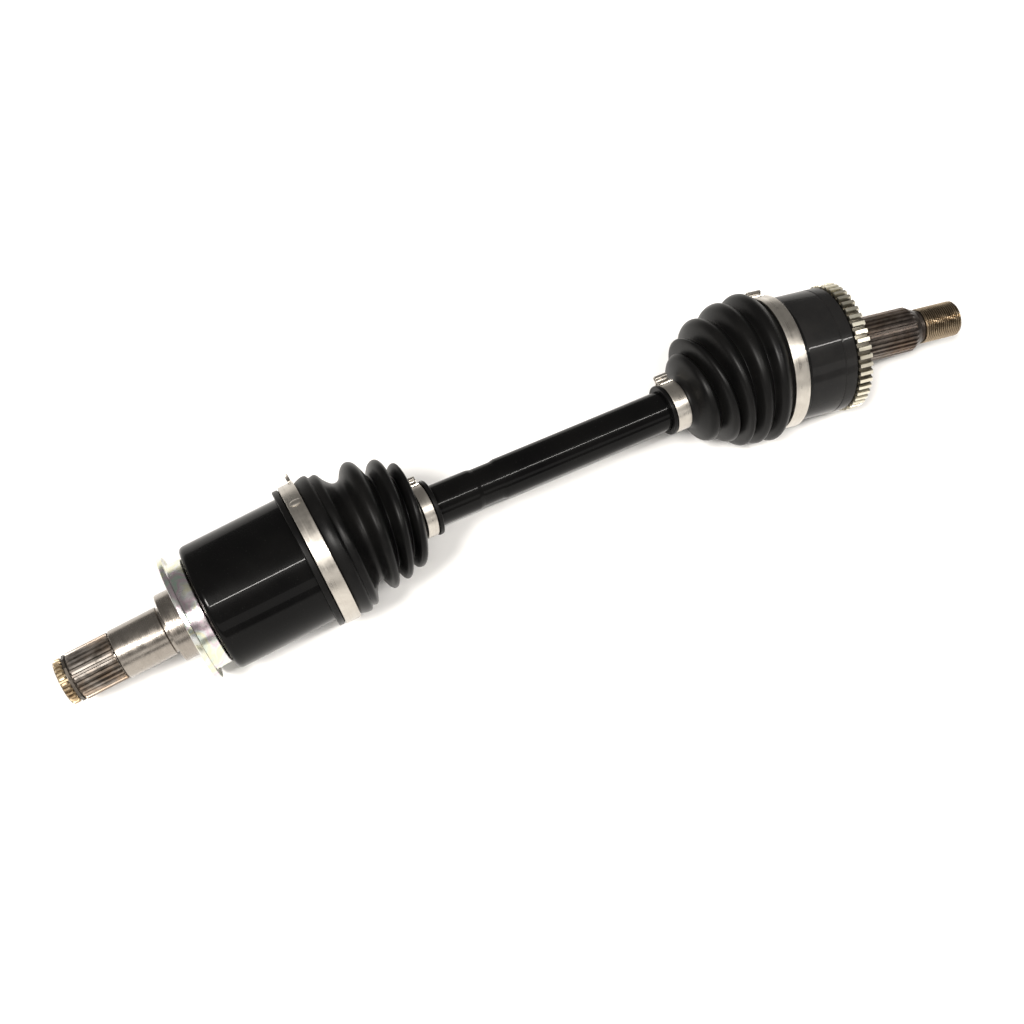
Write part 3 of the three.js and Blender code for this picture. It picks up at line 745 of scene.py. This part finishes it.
inner_bands = [(s, r - BOOT_WALL) for s, r in gear_bands]
seam = min(gear_bands, key=lambda point: abs(point[0] - SPLIT))
big_half = half_boot(
    "gearbox_boot_wide",
    gear_collar + [point for point in gear_bands if point[0] <= seam[0]],
    [point for point in reversed(inner_bands) if 24 < point[0] <= seam[0]]
    + [(20, CUP_SEAT_R), (4.1, CUP_SEAT_R)],
)
small_half = half_boot(
    "gearbox_boot_narrow",
    [point for point in gear_bands if point[0] >= seam[0]] + gear_tail,
    [(GEAR_BOOT_END, SMALL_BORE_R), (77.6, SMALL_BORE_R)]
    + [point for point in reversed(inner_bands) if seam[0] <= point[0] < 75],
)
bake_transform(small_half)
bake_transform(big_half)
for half in (small_half, big_half):
    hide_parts("inboard_boot")

# ---- clamps ----------------------------------------------------------------------------------

EAR_ANGLE = math.radians(60)


def strip(name, path, start_mm, end_mm, thickness, base_r, where, look, angle=EAR_ANGLE):
    """A bent strip across the band from start to end. path is [(tangential, height over the band)]."""
    pts = np.array(smooth_outline(path, 5))
    slopes = np.gradient(pts, axis=0)
    slopes /= np.linalg.norm(slopes, axis=1)[:, None]
    normals = np.stack([-slopes[:, 1], slopes[:, 0]], 1)
    outline = list(pts + normals * thickness / 2) + list((pts - normals * thickness / 2)[::-1])
    count = len(outline)
    points = []
    for s in (start_mm, start_mm + 0.3, end_mm - 0.3, end_mm):
        shrink = 0.85 if s in (start_mm, end_mm) else 1.0
        middle = list(pts) + list(pts[::-1])
        for (t, h), (mt, mh) in zip(outline, middle):
            t = mt + (t - mt) * shrink
            height = base_r + mh + (h - mh) * shrink
            drop = height - t * t / (2 * base_r)
            points.append((s, t * math.cos(angle) + drop * math.sin(angle),
                           drop * math.cos(angle) - t * math.sin(angle)))
    faces = []
    for layer in range(3):
        for i in range(count):
            j = (i + 1) % count
            a = layer * count
            faces.append((a + i, a + j, a + count + j, a + count + i))
    half = count // 2
    for base in (0, 3 * count):
        for i in range(half - 1):
            faces.append((base + i, base + i + 1, base + count - 2 - i, base + count - 1 - i))
    points = np.array(points) * MM
    matrix = np.array(where)
    points = points @ matrix[:3, :3].T + matrix[:3, 3]
    attributes = {"axial": [0.0] * len(points), "radial": [base_r] * len(points)}
    return new_mesh(name, points, faces, look, attributes)


def clamp(label, start, end, inner_r, outer_r, where, body, node, ear_height, ear_half, ear_at=EAR_ANGLE):
    """A band clamp in three pieces: the band, its folded ear and the overlapping tail."""
    band = revolve(label + "_band", eased([
        (start + 1, inner_r), (start, inner_r), (start, outer_r, 0.35), (end, outer_r, 0.35), (end, inner_r),
    ]), where, LOOKS["clamp_band"], facets=200, loop=True)
    dressed(band, body, node)
    look = LOOKS["clamp_band"]
    h = ear_height
    w = ear_half
    loop_path = [(-w - 4, 0.45), (-w - 1, 0.5), (-w * 0.8, 0.7), (-w * 0.5, h * 0.3), (-w * 0.5, h * 0.55),
                 (-w * 0.78, h * 0.78), (-w * 0.5, h * 0.97), (0, h * 1.03), (w * 0.5, h * 0.97),
                 (w * 0.78, h * 0.78), (w * 0.5, h * 0.55), (w * 0.5, h * 0.3), (w * 0.8, 0.7), (w + 1, 0.5),
                 (w + 4, 0.45)]
    ear = strip(label + "_ear", loop_path, start + 0.5, end - 0.5, 0.8, outer_r, where, look, ear_at)
    dressed(ear, body, node)
    tail_path = [(w + 2, 1.2), (w + 6, 1.15), (w + 10, 1.1), (w + 13, 1.0)]
    tail = strip(label + "_tail", tail_path, start + 1.5, end - 1.5, 0.7, outer_r, where, look, ear_at)
    dressed(tail, body, node)


LOW_EAR_ANGLE = math.radians(125)
clamp("gearbox_boot_small", 77.8, 84.8, 16.1, 16.9, SHAFT, "shaft", "inboard_small_clamp", 4.4, 1.9)
clamp("wheel_boot_small", -91.8, -82.2, 15.6, 16.4, SHAFT_AT_WHEEL, "shaft", "outboard_small_clamp", 5.2, 1.9)
LARGE_BAND_R = 45.3
clamp("gearbox_boot_large", 8.4, 18.1, 43.9, LARGE_BAND_R, GEARBOX, "inboard_housing", "inboard_large_clamp",
      2.8, 3.0, LOW_EAR_ANGLE)
clamp("wheel_boot_large", -16, -6, 42.6, 43.8, WHEEL, "outboard_bell", "outboard_large_clamp", 4.0, 3.0)

# The big gearbox-side band ends in a thin curled tongue.
TONGUE_ANGLE = math.radians(57)
TONGUE_PATH = [(-3.5, 0.5), (-1.2, 0.8), (0.6, 1.8), (1.6, 3.4), (2.0, 5.2)]
tongue = strip("gearbox_boot_large_tongue", TONGUE_PATH, 15.4, 17.6, 0.6, LARGE_BAND_R, GEARBOX,
               LOOKS["clamp_band"], TONGUE_ANGLE)
dressed(tongue, "inboard_housing", "inboard_large_clamp")


def stud(name, s_mm, angle, base_r, half_long, half_across, height, where, look):
    """An oval bump pressed out of a band."""
    steps = 24
    points = []
    levels = ((1.0, -0.5), (1.0, 0.0), (0.93, 0.55), (0.75, 0.85), (0.4, 0.98))
    for share, rise in levels:
        for i in range(steps):
            a = FULL_TURN * i / steps
            across = half_across * share * math.sin(a)
            drop = base_r + height * rise - across * across / (2 * base_r)
            points.append((s_mm + half_long * share * math.cos(a),
                           across * math.cos(angle) + drop * math.sin(angle),
                           drop * math.cos(angle) - across * math.sin(angle)))
    faces = [tuple(range(steps)), tuple(range((len(levels) - 1) * steps, len(levels) * steps))]
    for level in range(len(levels) - 1):
        for i in range(steps):
            a = level * steps + i
            b = level * steps + (i + 1) % steps
            faces.append((a, b, b + steps, a + steps))
    matrix = np.array(where)
    points = np.array(points) * MM @ matrix[:3, :3].T + matrix[:3, 3]
    attributes = {"axial": [s_mm] * len(points), "radial": [base_r] * len(points)}
    return new_mesh(name, points, faces, look, attributes)


CATCH_ANGLE = math.radians(15)
catch = stud("gearbox_boot_large_catch", 13.6, CATCH_ANGLE, LARGE_BAND_R, 3.9, 2.5, 0.9, GEARBOX,
             LOOKS["clamp_band"])
dressed(catch, "inboard_housing", "inboard_large_clamp")

# ---- carried-over CAD nodes: the works inside, and the snap ring ------------------------------

SPRING_NODES = ("clip", "stop_ring", "keeper")
for name, obj in frame["nodes"].items():
    if obj.hide_render:
        continue
    look = LOOKS["spring_steel"] if any(word in name for word in SPRING_NODES) else LOOKS["bearing_steel"]
    for slot in obj.material_slots:
        slot.material = look

# ---- stage --------------------------------------------------------------------------------------

centre = (Vector(cad_box[0]) + Vector(cad_box[1])) / 2
floor_z = cad_box[0][2]
floor_mesh = bpy.data.meshes.new("floor")
HALF_FLOOR = 60.0
floor_corners = [(x * HALF_FLOOR, y * HALF_FLOOR, floor_z) for x, y in ((-1, -1), (1, -1), (1, 1), (-1, 1))]
floor_mesh.from_pydata(floor_corners, [], [(0, 1, 2, 3)])
floor = bpy.data.objects.new("floor", floor_mesh)
bpy.context.scene.collection.objects.link(floor)
paper = Nodes("paper")
paper.finish(paper.ramp(paper.noise(9), (0.3, (0.90, 0.895, 0.885)), (0.7, (0.93, 0.925, 0.915))), 0.8,
             Specular_IOR_Level=0.1)
floor_mesh.materials.append(paper.material)

# ---- camera and lights ---------------------------------------------------------------------------

VIEW_AZIMUTH = math.radians(29.83)
VIEW_ELEVATION = math.radians(58.13)
VIEW_ROLL = math.radians(-2.67)
VIEW_DISTANCE = 0.973
AIM = Vector((-0.0237, -0.0177, -0.0169))       # from the middle of the CAD box
LENS_MM = 54.84
SENSOR_MM = 36

forward = Vector((math.sin(VIEW_AZIMUTH) * math.cos(VIEW_ELEVATION),
                  math.cos(VIEW_AZIMUTH) * math.cos(VIEW_ELEVATION), -math.sin(VIEW_ELEVATION)))
camera_data = bpy.data.cameras.new("camera")
camera_data.lens = LENS_MM
camera_data.sensor_width = SENSOR_MM
camera = bpy.data.objects.new("camera", camera_data)
camera.location = centre + AIM - forward * VIEW_DISTANCE
camera.rotation_mode = "QUATERNION"
camera.rotation_quaternion = Quaternion(forward, VIEW_ROLL) @ forward.to_track_quat("-Z", "Y")
bpy.context.scene.collection.objects.link(camera)
bpy.context.scene.camera = camera
bpy.context.scene.view_settings.view_transform = "Standard"


def panel(name, azimuth, elevation, distance, width, height, power, colour):
    """A soft box that faces the middle of the object, with its width along the bar. Angles are in degrees."""
    data = bpy.data.lights.new(name, "AREA")
    data.shape = "RECTANGLE"
    data.size = width
    data.size_y = height
    data.energy = power
    data.color = colour
    obj = bpy.data.objects.new(name, data)
    turn = math.radians(azimuth)
    rise = math.radians(elevation)
    back = -Vector((math.sin(turn) * math.cos(rise), math.cos(turn) * math.cos(rise), -math.sin(rise)))
    across = (SHAFT_LINE - back * SHAFT_LINE.dot(back)).normalized()
    obj.rotation_mode = "QUATERNION"
    obj.rotation_quaternion = Matrix((across, back.cross(across), back)).transposed().to_quaternion()
    obj.location = centre + back * distance
    bpy.context.scene.collection.objects.link(obj)
    return obj


WARM_WHITE = (1.0, 0.97, 0.93)
world = bpy.data.worlds.new("studio")
world.use_nodes = True
world.node_tree.nodes["Background"].inputs["Color"].default_value = (1.0, 0.975, 0.94, 1)
world.node_tree.nodes["Background"].inputs["Strength"].default_value = 0.24
bpy.context.scene.world = world

key_data = bpy.data.lights.new("key", "SUN")
key_data.energy = 3.4
key_data.angle = math.radians(13)
key_data.color = WARM_WHITE
key = bpy.data.objects.new("key", key_data)
key.rotation_euler = Euler((math.radians(36), 0, math.radians(-60)))
bpy.context.scene.collection.objects.link(key)
panel("line", -12, 61, 2.2, 2.6, 0.05, 40, WARM_WHITE)
panel("front", 5, 20, 1.4, 2.2, 0.36, 3.2, WARM_WHITE)
